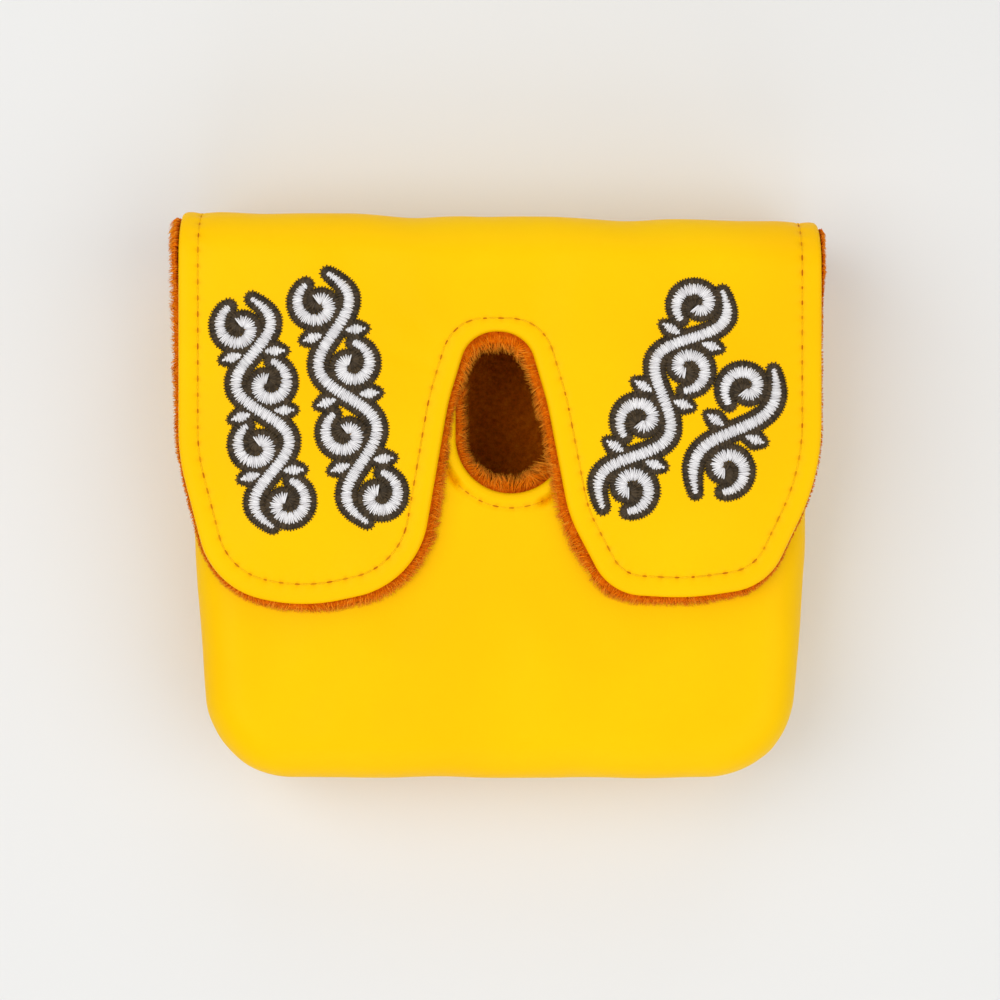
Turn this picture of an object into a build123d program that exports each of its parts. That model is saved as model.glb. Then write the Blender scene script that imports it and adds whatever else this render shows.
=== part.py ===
from build123d import *
import os

# Mallet putter head cover, in millimetres.
# It lies on its back panel: +Z points out of the front panel and the flap, +Y points to the fold,
# and the origin is under the middle of the cover, on the face that it lies on.

os.makedirs("parts", exist_ok=True)

# Driving dimensions
cover_length = 128.3
pouch_half_width = 70.0
toe_half_width = 65.4
flap_half_width = 71.6
pouch_depth = 36.0
flap_gap = 0.3

# Each wall has three layers. A layer is named by its outer and inner depth below the skin.
skin = 1.0
padding = 2.0
pile = 2.0
leather = (0.0, skin)
foam = (skin, skin + padding)
lining = (skin + padding, skin + padding + pile)
wall = lining[1]
layers = {"leather": leather, "foam": foam, "lining": lining}

# On the flap and the top wall the padding stops short of the leather's edge and the pile stands proud.
pile_overhang = 1.5
edge_growth = {"leather": 0.0, "foam": -1.2, "lining": pile_overhang}

# Heights of the layered flap
flap_bottom = pouch_depth + flap_gap
flap_top = flap_bottom + wall

# Length stations
fold_y = cover_length / 2
toe_y = -cover_length / 2
fold_radius = 11.0
bend_y = fold_y - fold_radius
heel_bend_z = fold_radius
top_bend_z = flap_top - fold_radius
front_mouth_y = 52.0
gusset_mouth_y = 55.0
back_shell_y = 50.0
beyond_fold_y = 90.0

# Pouch edges and seams
front_round = 10.0
back_round = 5.8
front_seam_z = 24.0
back_seam_z = 6.0
seam_thread = 0.4

# Hinge folds: both halves of a bend stop short of its middle, so that they never touch.
bend_middle = 45.0
half_gap = 1.5
half_bend = bend_middle - half_gap

# Shaft collar in the front panel
collar_x = 2.5
collar_y = 13.1
collar_radius = 12.5

# Topstitching
stitch_pitch = 3.5
stitch_length = 2.4
stitch_width = 0.7
stitch_height = 0.35
collar_stitch_height = 0.25
flap_stitch_inset = 4.4
collar_stitch_inset = 3.4
collar_stitch_end_y = front_mouth_y - 2

# Magnets in the padding, under each lobe
magnet_radius = 7.0
magnet_thickness = 1.5
magnet_clearance = 0.05
pocket_radius = 8.0
pocket_base = 0.2
foam_hole_radius = 8.1
magnet_places = {"left": (-43, -8), "right": (41, -7)}

# Embroidery: lines of running scrolls, given as the start and the end of each line
backing_thickness = 0.2
backing_inset = 8.0
outline_height = 0.25
fill_height = 0.4
fill_width = 2.8
outline_width = 5.0
scroll_pitch = 7.5
bud_radius = 1.3
scroll_lines = {
    "left": [((-39.5, 48.5), (-28.7, -4.0)), ((-56.4, 42.5), (-50.0, -5.0))],
    "right": [((24.8, -1.5), (47.5, 46.5)), ((45.2, 1.0), (59.0, 28.0))],
}
backing_size = {"left": (46, 60), "right": (52, 60)}
backing_centre = {"left": (-43.5, 21.0), "right": (41.5, 21.0)}

far = 200.0


def save(part, name):
    """Label a finished piece and write it as its own STEP file."""
    part.label = name
    export_step(part, f"parts/{name}.step")


# ---- Outlines ----


def pouch_outline(inset):
    """Plan of the pouch: straight sides that draw in towards a toe with rounded corners."""
    with BuildSketch() as plan:
        with BuildLine():
            FilletPolyline(
                (-pouch_half_width, beyond_fold_y),
                (-pouch_half_width, -10),
                (-toe_half_width, toe_y),
                (toe_half_width, toe_y),
                (pouch_half_width, -10),
                (pouch_half_width, beyond_fold_y),
                radius=[14, 120, 20, 20, 120, 14],
                close=True,
            )
        make_face()
        offset(amount=-inset)
    return plan.sketch


def flap_outline(grow):
    """Plan of the flap: two soft lobes with the shaft notch between them."""
    with BuildSketch() as plan:
        with BuildLine():
            FilletPolyline(
                (-flap_half_width, beyond_fold_y),
                (-flap_half_width, 9),
                (-64, -20.5),
                (-44, -25),
                (-18.5, -19.5),
                (-11.5, 21),
                (-6.7, 36.8),
                (5.9, 36.6),
                (10.6, 20.5),
                (15.4, -4.5),
                (24.5, -21.8),
                (42, -22.8),
                (59.5, -20.2),
                (flap_half_width, 5),
                (flap_half_width, beyond_fold_y),
                radius=[2, 45, 18, 40, 20, 60, 8, 8, 60, 30, 12, 60, 14, 50, 2],
                close=True,
            )
        make_face()
        offset(amount=grow)
    return plan.sketch


def collar_notch(shrink):
    """Plan of the U-shaped notch that the shaft passes through in the front panel."""
    radius = collar_radius - shrink
    with BuildSketch() as plan:
        with Locations((collar_x, collar_y)):
            Circle(radius)
            Rectangle(2 * radius, far, align=(Align.CENTER, Align.MIN))
    return plan.sketch


# ---- Shells of the pouch ----


def pouch_core(inset):
    """The pouch as one rounded solid, inset from its outer surface by a layer's depth."""
    with BuildPart() as core:
        with BuildSketch(Plane.XY.offset(inset)):
            add(pouch_outline(inset))
        extrude(amount=pouch_depth - 2 * inset)
        fillet(core.faces().sort_by(Axis.Z)[-1].edges(), front_round - inset)
        fillet(core.faces().sort_by(Axis.Z)[0].edges(), back_round - inset)
    return core.part


def slab(low_z, high_z, end_y):
    """The region that a panel is cut out of: between two seams, up to the pouch's mouth."""
    with BuildPart() as region:
        with BuildSketch(Plane.XY.offset(low_z)):
            with Locations((0, end_y)):
                Rectangle(far, far, align=(Align.CENTER, Align.MAX))
        extrude(amount=high_z - low_z)
    return region.part


def magnet_holes(part_plane_z, height):
    """Round holes through the padding, one for each magnet pocket."""
    with BuildPart() as holes:
        with BuildSketch(Plane.XY.offset(part_plane_z)):
            with Locations(*magnet_places.values()):
                Circle(foam_hole_radius)
        extrude(amount=height)
    return holes.part


def seam_rail(seam_z):
    """The lockstitch thread of a hidden seam, laid between the skin and the padding."""
    with BuildPart() as rail:
        with BuildSketch(Plane.XY.offset(seam_z - seam_thread / 2)):
            add(pouch_outline(skin))
            add(pouch_outline(skin + seam_thread), mode=Mode.SUBTRACT)
        extrude(amount=seam_thread)
        add(slab(0, pouch_depth, front_mouth_y), mode=Mode.INTERSECT)
    return rail.part


# ---- Sections of the wrap that runs from the back panel over the fold ----


def bend_band(centre_z, depth, start, size):
    """A layer's section round one bend of the wrap, seen along X."""
    outside = fold_radius - depth[0]
    inside = fold_radius - depth[1]
    with BuildSketch() as band:
        with BuildLine():
            outer = CenterArc((bend_y, centre_z), outside, start, size)
            inner = CenterArc((bend_y, centre_z), inside, start, size)
            Line(outer @ 0, inner @ 0)
            Line(outer @ 1, inner @ 1)
        make_face()
    return band.sketch


def straight_band(depth):
    """A layer's section along the straight part of the top wall, seen along X."""
    with BuildSketch() as band:
        with Locations((fold_y - depth[0], heel_bend_z)):
            Rectangle(depth[1] - depth[0], top_bend_z - heel_bend_z, align=(Align.MAX, Align.MIN))
    return band.sketch


def strip_half_width(name):
    """Half the width of a layer of the wrap."""
    return flap_half_width + edge_growth[name]


cores = {depth: pouch_core(depth) for depth in (0.0, foam[0], lining[0], wall)}
front_rail = seam_rail(front_seam_z)
back_rail = seam_rail(back_seam_z)

# ---- Back panel, with the first half of the heel bend ----

for name, depth in layers.items():
    with BuildPart() as back_panel:
        add(cores[depth[0]])
        add(cores[depth[1]], mode=Mode.SUBTRACT)
        add(slab(0, back_seam_z, back_shell_y), mode=Mode.INTERSECT)
        with BuildSketch(Plane.XY.offset(depth[0])):
            with Locations((0, back_shell_y)):
                strip_width = 2 * strip_half_width(name)
                Rectangle(strip_width, bend_y - back_shell_y, align=(Align.CENTER, Align.MIN))
        extrude(amount=depth[1] - depth[0])
        with BuildSketch(Plane.YZ):
            add(bend_band(heel_bend_z, depth, -90, half_bend))
        extrude(amount=strip_half_width(name), both=True)
        if name == "foam":
            add(back_rail, mode=Mode.SUBTRACT)
    save(back_panel.part, f"back_panel_{name}")

# ---- Gusset round the sides and the toe ----

for name, depth in layers.items():
    with BuildPart() as gusset:
        add(cores[depth[0]])
        add(cores[depth[1]], mode=Mode.SUBTRACT)
        add(slab(back_seam_z, front_seam_z, gusset_mouth_y), mode=Mode.INTERSECT)
        if name == "foam":
            add(back_rail, mode=Mode.SUBTRACT)
            add(front_rail, mode=Mode.SUBTRACT)
    save(gusset.part, f"gusset_{name}")

# ---- Front panel with the shaft collar ----

for name, depth in layers.items():
    with BuildPart() as front_panel:
        add(cores[depth[0]])
        add(cores[depth[1]], mode=Mode.SUBTRACT)
        add(slab(front_seam_z, pouch_depth, front_mouth_y), mode=Mode.INTERSECT)
        with BuildSketch(Plane.XY.offset(front_seam_z)):
            add(collar_notch(pile_overhang if name == "lining" else 0))
        extrude(amount=pouch_depth, mode=Mode.SUBTRACT)
        if name == "foam":
            add(front_rail, mode=Mode.SUBTRACT)
            add(magnet_holes(pouch_depth - depth[1], padding), mode=Mode.SUBTRACT)
    save(front_panel.part, f"front_panel_{name}")

save(front_rail, "front_seam_thread")
save(back_rail, "back_seam_thread")

# ---- Top wall between the two hinge folds ----

for name, depth in layers.items():
    with BuildPart() as spine:
        with BuildSketch(Plane.YZ):
            add(bend_band(heel_bend_z, depth, -half_bend, half_bend))
            add(straight_band(depth))
            add(bend_band(top_bend_z, depth, 0, half_bend))
        extrude(amount=strip_half_width(name), both=True)
    save(spine.part, f"spine_{name}")

# ---- Flap ----

for name, depth in layers.items():
    with BuildPart() as flap:
        with BuildSketch(Plane.XY.offset(flap_top - depth[1])):
            add(flap_outline(edge_growth[name]))
            with Locations((0, bend_y)):
                Rectangle(far, far, align=(Align.CENTER, Align.MIN), mode=Mode.SUBTRACT)
        extrude(amount=depth[1] - depth[0])
        with BuildSketch(Plane.YZ):
            add(bend_band(top_bend_z, depth, 90 - half_bend, half_bend))
        extrude(amount=strip_half_width(name), both=True)
        if name == "foam":
            add(magnet_holes(flap_top - depth[1], padding), mode=Mode.SUBTRACT)
            for side in backing_size:
                with BuildSketch(Plane.XY.offset(flap_top - skin - backing_thickness)):
                    with Locations(backing_centre[side]):
                        Rectangle(*backing_size[side])
                    add(flap_outline(-backing_inset), mode=Mode.INTERSECT)
                extrude(amount=backing_thickness, mode=Mode.SUBTRACT)
    save(flap.part, f"flap_{name}")

# ---- Topstitching: one small solid for each stitch ----


def stitch_places(wire, highest_y):
    """Evenly spaced places along a stitch line, each turned along the line."""
    count = round(wire.length / stitch_pitch)
    places = []
    for number in range(count):
        point = wire @ (number / count)
        along = wire % (number / count)
        if point.Y < highest_y:
            turn = Vector(1, 0, 0).get_signed_angle(along, Vector(0, 0, 1))
            places.append(Location((point.X, point.Y, 0), (0, 0, turn)))
    return places


flap_stitch_line = flap_outline(-flap_stitch_inset).faces()[0].outer_wire()
with BuildPart() as flap_stitching:
    with BuildSketch(Plane.XY.offset(flap_top)):
        with Locations(*stitch_places(flap_stitch_line, bend_y - stitch_length)):
            SlotOverall(stitch_length, stitch_width)
    extrude(amount=stitch_height)
save(flap_stitching.part, "flap_stitching")

with BuildLine() as collar_line:
    run = collar_radius + collar_stitch_inset
    Line((collar_x - run, collar_stitch_end_y), (collar_x - run, collar_y))
    CenterArc((collar_x, collar_y), run, 180, 180)
    Line((collar_x + run, collar_y), (collar_x + run, collar_stitch_end_y))
with BuildPart() as collar_stitching:
    with BuildSketch(Plane.XY.offset(pouch_depth)):
        with Locations(*stitch_places(collar_line.wire(), front_mouth_y)):
            SlotOverall(stitch_length, stitch_width)
    extrude(amount=collar_stitch_height)
save(collar_stitching.part, "collar_stitching")

row_distance = 2 * (flap_half_width - flap_stitch_inset)
row_count = int((top_bend_z - heel_bend_z) / stitch_pitch)
with BuildPart() as spine_stitching:
    with BuildSketch(Plane.XZ.offset(-fold_y)):
        with Locations((0, (heel_bend_z + top_bend_z) / 2)):
            with GridLocations(row_distance, stitch_pitch, 2, row_count):
                SlotOverall(stitch_length, stitch_width, rotation=90)
    extrude(amount=-stitch_height)
save(spine_stitching.part, "spine_stitching")

# ---- Closing magnets in their pockets ----


def magnet_set(side, seat_z, up, owner):
    """A magnet disc lying in a shallow fabric pocket that opens away from its base."""
    seat = Plane(origin=(*magnet_places[side], seat_z), z_dir=(0, 0, up))
    with BuildPart() as pocket:
        with BuildSketch(seat):
            Circle(pocket_radius)
        extrude(amount=pocket_base + magnet_thickness)
        with BuildSketch(seat.offset(pocket_base)):
            Circle(magnet_radius + magnet_clearance)
        extrude(amount=magnet_thickness, mode=Mode.SUBTRACT)
    save(pocket.part, f"{owner}_magnet_pocket_{side}")
    with BuildPart() as magnet:
        with BuildSketch(seat.offset(pocket_base)):
            Circle(magnet_radius)
        extrude(amount=magnet_thickness)
    save(magnet.part, f"{owner}_magnet_{side}")


for side in magnet_places:
    magnet_set(side, pouch_depth - foam[1], 1, "pouch")
    magnet_set(side, flap_top - foam[1], 1, "flap")

# ---- Embroidery ----


def scroll_line(start, end, width):
    """A running scroll: a waving stem with a bud in each bay, drawn at the given thread width."""
    begin = Vector(*start)
    span = Vector(*end) - begin
    bays = round(span.length / scroll_pitch)
    heading = Vector(1, 0, 0).get_signed_angle(span, Vector(0, 0, 1))
    bay_radius = span.length / bays / 2
    buds = [begin + span * ((bay + 0.5) / bays) for bay in range(bays)]
    with BuildLine() as stem:
        for bay, bud in enumerate(buds):
            if bay % 2:
                CenterArc(bud, bay_radius, heading + 180, 180)
            else:
                CenterArc(bud, bay_radius, heading, 180)
    with BuildSketch() as line:
        SlotArc(stem.wire(), width)
        with Locations(*buds):
            Circle(bud_radius + (width - fill_width) / 2)
    return line.sketch


for side, lines in scroll_lines.items():
    with BuildPart() as outline:
        with BuildSketch(Plane.XY.offset(flap_top)):
            for start, end in lines:
                add(scroll_line(start, end, outline_width))
        extrude(amount=outline_height)
    save(outline.part, f"embroidery_outline_{side}")
    with BuildPart() as fill:
        with BuildSketch(Plane.XY.offset(flap_top + outline_height)):
            for start, end in lines:
                add(scroll_line(start, end, fill_width))
        extrude(amount=fill_height)
    save(fill.part, f"embroidery_fill_{side}")
    with BuildPart() as backing:
        with BuildSketch(Plane.XY.offset(flap_top - skin - backing_thickness)):
            with Locations(backing_centre[side]):
                Rectangle(*backing_size[side])
            add(flap_outline(-backing_inset), mode=Mode.INTERSECT)
        extrude(amount=backing_thickness)
    save(backing.part, f"embroidery_backing_{side}")
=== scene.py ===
"""Looks of a mallet putter head cover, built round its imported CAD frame.

The script works in millimetres, in the frame's axes: +X right, +Y towards the fold, +Z out of the flap.
Meshes are scaled to metres when they are made.
"""

import math

import bpy
import numpy as np
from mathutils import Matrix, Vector, geometry


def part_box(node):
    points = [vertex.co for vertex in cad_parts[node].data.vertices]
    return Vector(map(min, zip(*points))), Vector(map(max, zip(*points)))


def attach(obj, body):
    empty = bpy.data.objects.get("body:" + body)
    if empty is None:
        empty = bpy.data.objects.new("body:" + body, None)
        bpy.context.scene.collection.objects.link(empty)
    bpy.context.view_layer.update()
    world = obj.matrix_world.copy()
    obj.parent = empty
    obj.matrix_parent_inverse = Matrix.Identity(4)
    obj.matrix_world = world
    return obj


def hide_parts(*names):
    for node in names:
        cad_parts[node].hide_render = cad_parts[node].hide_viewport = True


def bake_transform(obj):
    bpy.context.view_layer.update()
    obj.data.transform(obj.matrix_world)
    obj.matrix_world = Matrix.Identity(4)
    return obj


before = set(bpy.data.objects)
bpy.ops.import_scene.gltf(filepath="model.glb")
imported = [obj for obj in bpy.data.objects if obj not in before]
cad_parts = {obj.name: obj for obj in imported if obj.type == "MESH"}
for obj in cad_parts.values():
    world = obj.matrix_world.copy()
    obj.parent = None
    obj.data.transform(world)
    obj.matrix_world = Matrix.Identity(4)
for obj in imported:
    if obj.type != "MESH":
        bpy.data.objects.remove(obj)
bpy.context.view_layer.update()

MM = 0.001
rng = np.random.default_rng(11)

# Edges that turn by more than this stay sharp in the shading.
SHARP = math.radians(62)


def cad_box(node):
    """A CAD node's lowest and highest corner in millimetres."""
    low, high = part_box(node)
    return np.array(low) / MM, np.array(high) / MM


# ---- Sizes read from the frame ----

SKIN = 3.0
PILE = 2.0
flap_high = cad_box("flap_leather")[1]
front_low, front_high = cad_box("front_panel_leather")
gusset_low, gusset_high = cad_box("gusset_leather")
spine_high = cad_box("spine_leather")[1]
FLAP_TOP = flap_high[2]
FLAP_HALF = flap_high[0]
FRONT_TOP = front_high[2]
POUCH_HALF = front_high[0]
TOE_Y = front_low[1]
MOUTH_Y = front_high[1]
FOLD_Y = spine_high[1]
FRONT_SEAM_Z = gusset_high[2]
BACK_SEAM_Z = gusset_low[2]
GUSSET_END_Y = gusset_high[1]
BACK_JOIN_Y = 50.0

# The wrap is measured along its outer face: s is Y on the flap, then runs round the top bend, down the
# top wall, round the heel bend and forward along the back panel.
BEND = 11.0
BEND_Y = FOLD_Y - BEND
TOP_BEND_Z = FLAP_TOP - BEND
HEEL_BEND_Z = BEND
BEND_LENGTH = math.pi / 2 * BEND
S_TOP_END = BEND_Y + BEND_LENGTH
S_HEEL_START = S_TOP_END + TOP_BEND_Z - HEEL_BEND_Z
S_HEEL_END = S_HEEL_START + BEND_LENGTH
S_MIDDLE = (S_TOP_END + S_HEEL_START) / 2
S_BACK_JOIN = S_HEEL_END + BEND_Y - BACK_JOIN_Y

# How far the soft fold falls short of its place, in the middle
FOLD_SLACK = 1.2

FRONT_ROUND = 10.0
BACK_ROUND = 5.8

# Shaft collar in the front panel
COLLAR = np.array((2.5, 13.1))
COLLAR_RADIUS = 12.5
COLLAR_STITCH = 3.3

# Topstitching
STITCH_PITCH = 3.6
FLAP_STITCH = 4.4
THREAD_RADIUS = 0.24
# Half width of the dark marks at the needle holes, which are painted shadows where the thread goes in.
HOLE_SHADOW_RADIUS = 0.17

# ---- Plane curves ----


def rounded(corners, radii, step=0.6, closed=True):
    """A polyline with arcs at its corners, as points about one step apart."""
    corners = [np.array(c, float) for c in corners]
    count = len(corners)
    path = []
    for i, corner in enumerate(corners):
        if not closed and i in (0, count - 1):
            path.append(corner)
            continue
        to_last = corners[i - 1] - corner
        to_next = corners[(i + 1) % count] - corner
        to_last /= np.linalg.norm(to_last)
        to_next /= np.linalg.norm(to_next)
        half = math.acos(np.clip(to_last @ to_next, -1, 1)) / 2
        reach = radii[i] / math.tan(half)
        middle = (to_last + to_next) / np.linalg.norm(to_last + to_next)
        centre = corner + middle * radii[i] / math.sin(half)
        start = corner + to_last * reach - centre
        turn = math.pi - 2 * half
        if start[0] * to_next[1] - start[1] * to_next[0] < 0:
            turn = -turn
        pieces = max(2, math.ceil(abs(turn) * radii[i] / step))
        for angle in np.linspace(0, turn, pieces + 1):
            cos, sin = math.cos(angle), math.sin(angle)
            path.append(centre + (start[0] * cos - start[1] * sin, start[0] * sin + start[1] * cos))
    return resample(np.array(path), step, closed)


def lengths_along(path):
    """The length of a curve up to each of its points."""
    return np.concatenate([[0], np.cumsum(np.linalg.norm(np.diff(path, axis=0), axis=1))])


def at_lengths(places, lengths, values):
    """Vectors given at some lengths along a curve, read at other places along it."""
    return np.stack([np.interp(places, lengths, column) for column in values.T], axis=-1)


def resample(path, step, closed=False):
    """The same curve as evenly spaced points."""
    if closed:
        path = np.vstack([path, path[:1]])
    lengths = lengths_along(path)
    count = max(2, round(lengths[-1] / step))
    places = np.linspace(0, lengths[-1], count + 1)
    if closed:
        places = places[:-1]
    return at_lengths(places, lengths, path)


def tangents(path, closed=False):
    """Unit tangents of a polyline."""
    if closed:
        along = np.roll(path, -1, axis=0) - np.roll(path, 1, axis=0)
    else:
        along = np.gradient(path, axis=0)
    return along / np.linalg.norm(along, axis=1, keepdims=True)


def left_of(along):
    """Unit vectors a quarter turn to the left, which is inward: every outline here runs anticlockwise."""
    return np.stack([-along[:, 1], along[:, 0]], axis=1)


def parallel(path, distance, closed=False):
    """The curve moved to its left by a distance."""
    return path + left_of(tangents(path, closed)) * distance


class Near:
    """Where each point's nearest place on a curve is."""

    def __init__(self, points, path, closed=False):
        start = path
        end = np.roll(path, -1, axis=0)
        if not closed:
            start, end = start[:-1], end[:-1]
        span = end - start
        size = np.maximum((span**2).sum(1), 1e-12)
        lengths = np.sqrt(size)
        before = np.concatenate([[0], np.cumsum(lengths)[:-1]])
        self.distance = np.empty(len(points))
        self.along = np.empty(len(points))
        self.foot = np.empty((len(points), 2))
        self.left = np.empty((len(points), 2))
        for first in range(0, len(points), 1500):
            part = slice(first, first + 1500)
            offset = points[part, None, :] - start[None]
            share = np.clip((offset * span).sum(2) / size, 0, 1)
            gap = offset - share[:, :, None] * span
            square = (gap**2).sum(2)
            best = square.argmin(1)
            rows = np.arange(len(best))
            self.distance[part] = np.sqrt(square[rows, best])
            self.along[part] = before[best] + share[rows, best] * lengths[best]
            self.foot[part] = start[best] + share[rows, best, None] * span[best]
            heading = span[best] / lengths[best, None]
            self.left[part] = left_of(heading)
        self.side = ((points - self.foot) * self.left).sum(1)


def inside(points, outline):
    """Which points a closed outline holds."""
    found = np.zeros(len(points), bool)
    for a, b in zip(outline, np.roll(outline, -1, axis=0)):
        if a[1] == b[1]:
            continue
        spans = (a[1] > points[:, 1]) != (b[1] > points[:, 1])
        x = a[0] + (points[:, 1] - a[1]) * (b[0] - a[0]) / (b[1] - a[1])
        found ^= spans & (points[:, 0] < x)
    return found


def smooth(low, high, x):
    """0 below low, 1 above high, and a soft step between."""
    t = np.clip((x - low) / (high - low), 0, 1)
    return t * t * (3 - 2 * t)


def bell(x, width, middle=0.0):
    """1 at the middle, and nearly nothing two widths away."""
    return np.exp(-(((x - middle) / width) ** 2))


def ripple(points, scale, seed):
    """Soft random waves of about one wavelength, from -1 to 1."""
    draw = np.random.default_rng(seed)
    total = np.zeros(len(points))
    for _ in range(7):
        angle = draw.uniform(0, 2 * math.pi)
        length = scale * draw.uniform(0.7, 1.5)
        phase = draw.uniform(0, 2 * math.pi)
        across = points[:, 0] * math.cos(angle) + points[:, 1] * math.sin(angle)
        total += np.cos(across * 2 * math.pi / length + phase)
    return total / 4


# ---- Outlines, in the plane of the flap or of the pouch ----

BEYOND = 110.0
TOE_HALF = 65.4

flap_outline = rounded(
    [
        (-FLAP_HALF, BEYOND),
        (-FLAP_HALF, 9),
        (-64, -20.5),
        (-44, -25),
        (-18.5, -19.5),
        (-11.5, 21),
        (-6.7, 37.2),
        (5.9, 37.0),
        (10.6, 20.5),
        (15.4, -4.5),
        (24.5, -21.8),
        (42, -22.8),
        (59.5, -20.2),
        (FLAP_HALF, 5),
        (FLAP_HALF, BEYOND),
    ],
    [2, 45, 18, 40, 20, 60, 8, 8, 60, 30, 12, 60, 14, 50, 2],
)
pouch_outline = rounded(
    [
        (-POUCH_HALF, BEYOND),
        (-POUCH_HALF, -10),
        (-TOE_HALF, TOE_Y),
        (TOE_HALF, TOE_Y),
        (POUCH_HALF, -10),
        (POUCH_HALF, BEYOND),
    ],
    [14, 120, 20, 20, 120, 14],
)


def open_run(outline, top):
    """The part of a closed outline below a line, as an open curve from its left end to its right end."""
    low = outline[:, 1] <= top
    first = next(i for i in range(len(low)) if low[i] and not low[i - 1])
    run = np.roll(outline, -first, axis=0)[: low.sum()]
    ends = np.array([[run[0, 0], top], [run[-1, 0], top]])
    return np.vstack([ends[:1], run, ends[1:]])


def collar_path(radius, top):
    """The U round the shaft, from its right end to its left end, with the panel on its left."""
    angles = np.linspace(0, -math.pi, 60)
    arc = COLLAR + radius * np.stack([np.cos(angles), np.sin(angles)], axis=1)
    right = np.array([[COLLAR[0] + radius, top]])
    left = np.array([[COLLAR[0] - radius, top]])
    return resample(np.vstack([right, arc, left]), 0.6)


# ---- Mappings from a flat pattern to the cover ----


def wrap(pattern, depth=0.0):
    """Places (x, s) of the wrap at a depth below its outer face, and the outward normals there."""
    x, s = pattern[:, 0], pattern[:, 1]
    depth = np.broadcast_to(depth, x.shape)
    top_turn = np.clip((s - BEND_Y) / BEND, 0, math.pi / 2)
    heel_turn = np.clip((s - S_HEEL_START) / BEND, 0, math.pi / 2)
    turn = top_turn + heel_turn
    normal = np.stack([np.zeros_like(x), np.sin(turn), np.cos(turn)], axis=1)
    on_heel = s > S_MIDDLE
    centre_z = np.where(on_heel, HEEL_BEND_Z, TOP_BEND_Z)
    forward = np.minimum(s - BEND_Y, 0) - np.maximum(s - S_HEEL_END, 0)
    down = np.where(on_heel, np.minimum(s - S_HEEL_START, 0), np.maximum(s - S_TOP_END, 0))
    y = BEND_Y + forward + BEND * normal[:, 1]
    z = centre_z - down + BEND * normal[:, 2]
    outer = np.stack([x, y - fold_slack(x, y, on_heel), z], axis=1)
    return outer - normal * depth[:, None], normal


def fold_slack(x, y, on_heel):
    """How far the soft fold falls short of its place: nothing at its left end, most at its right end."""
    start = np.where(on_heel, BACK_JOIN_Y + 1, 20)
    return FOLD_SLACK * (1 + x / FLAP_HALF) * smooth(start, FOLD_Y - 3, y)


def shell(radius, seam_z, flat_z):
    """A mapping for a pouch panel whose edge rounds over to the seam. Its pattern is the plan with the
    rounded edge unrolled outside it."""
    up = 1 if flat_z > seam_z else -1
    straight = abs(flat_z - seam_z) - radius
    unrolled = straight + math.pi / 2 * radius

    def place(pattern, depth=0.0):
        near = Near(pattern, pouch_outline, closed=True)
        from_seam = near.side + unrolled - radius
        turn = np.clip((from_seam - straight) / radius, 0, math.pi / 2)
        inset = np.where(from_seam > unrolled, from_seam - unrolled + radius, radius * (1 - np.cos(turn)))
        rise = np.minimum(from_seam, straight) + radius * np.sin(turn)
        outward = -near.left
        plan = near.foot - outward * inset[:, None]
        flat = from_seam > unrolled
        plan[flat] = pattern[flat]
        normal = np.column_stack([outward * np.cos(turn)[:, None], up * np.sin(turn)])
        outer = np.column_stack([plan, seam_z + up * rise])
        depth = np.broadcast_to(depth, inset.shape)
        return outer - normal * depth[:, None], normal

    return place, unrolled - radius


# ---- Meshes ----


def add_object(name, data):
    """A new object in the scene."""
    made = bpy.data.objects.new(name, data)
    bpy.context.scene.collection.objects.link(made)
    return made


def make_object(name, points, faces, material):
    """A smooth mesh object from points in millimetres."""
    mesh = bpy.data.meshes.new(name)
    mesh.from_pydata((np.asarray(points) * MM).tolist(), [], faces)
    mesh.polygons.foreach_set("use_smooth", [True] * len(mesh.polygons))
    mesh.materials.append(material)
    mesh.update()
    return add_object(name, mesh)


def set_point_value(made, name, values):
    """Stores a number on each point, for a material to read."""
    layer = made.data.attributes.new(name, "FLOAT", "POINT")
    layer.data.foreach_set("value", np.asarray(values, np.float32))


# Where a sheet's outer face lies in its bake map, and how far its inner face is moved from there
FACE_SIZE = (0.49, 0.98)
FACE_CORNER = (0.005, 0.01)
INNER_SHIFT = (0.495, 0)


def set_bake_map(made, places):
    """Gives each point its place in a bake map, a UV layer named OFBake."""
    layer = made.data.uv_layers.new(name="OFBake")
    corners = np.empty(len(made.data.loops), np.int32)
    made.data.loops.foreach_get("vertex_index", corners)
    layer.data.foreach_set("uv", np.asarray(places, np.float32)[corners].ravel())


def ring_points(path, offset, outline):
    """A row of points at one distance inside a curve, where it stays inside the outline."""
    row = path + left_of(tangents(path)) * offset
    row = row[(Near(row, path).distance > offset - 0.02) & inside(row, outline)]
    return row[Near(row, outline, closed=True).distance > 0.12]


def field_points(outline, rings, grid):
    """A staggered grid of points inside an outline, clear of its edge and of the rows beside it."""
    clear = 0.35 * grid
    low, high = outline.min(0), outline.max(0)
    xs = np.arange(low[0] + grid / 2, high[0], grid)
    ys = np.arange(low[1] + grid / 2, high[1], grid)
    field = np.stack(np.meshgrid(xs, ys), axis=2)
    field[::2, :, 0] += grid / 2
    field = field.reshape(-1, 2)
    field = field[inside(field, outline)]
    field = field[Near(field, outline, closed=True).distance > clear]
    for path, offsets in rings:
        field = field[Near(field, path).distance > max(offsets) + clear]
    return field


def double_area(flat, triangles):
    """Twice each triangle's area, below 0 where it runs clockwise."""
    a, b, c = (flat[triangles[:, k]] for k in range(3))
    return (b[:, 0] - a[:, 0]) * (c[:, 1] - a[:, 1]) - (b[:, 1] - a[:, 1]) * (c[:, 0] - a[:, 0])


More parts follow.
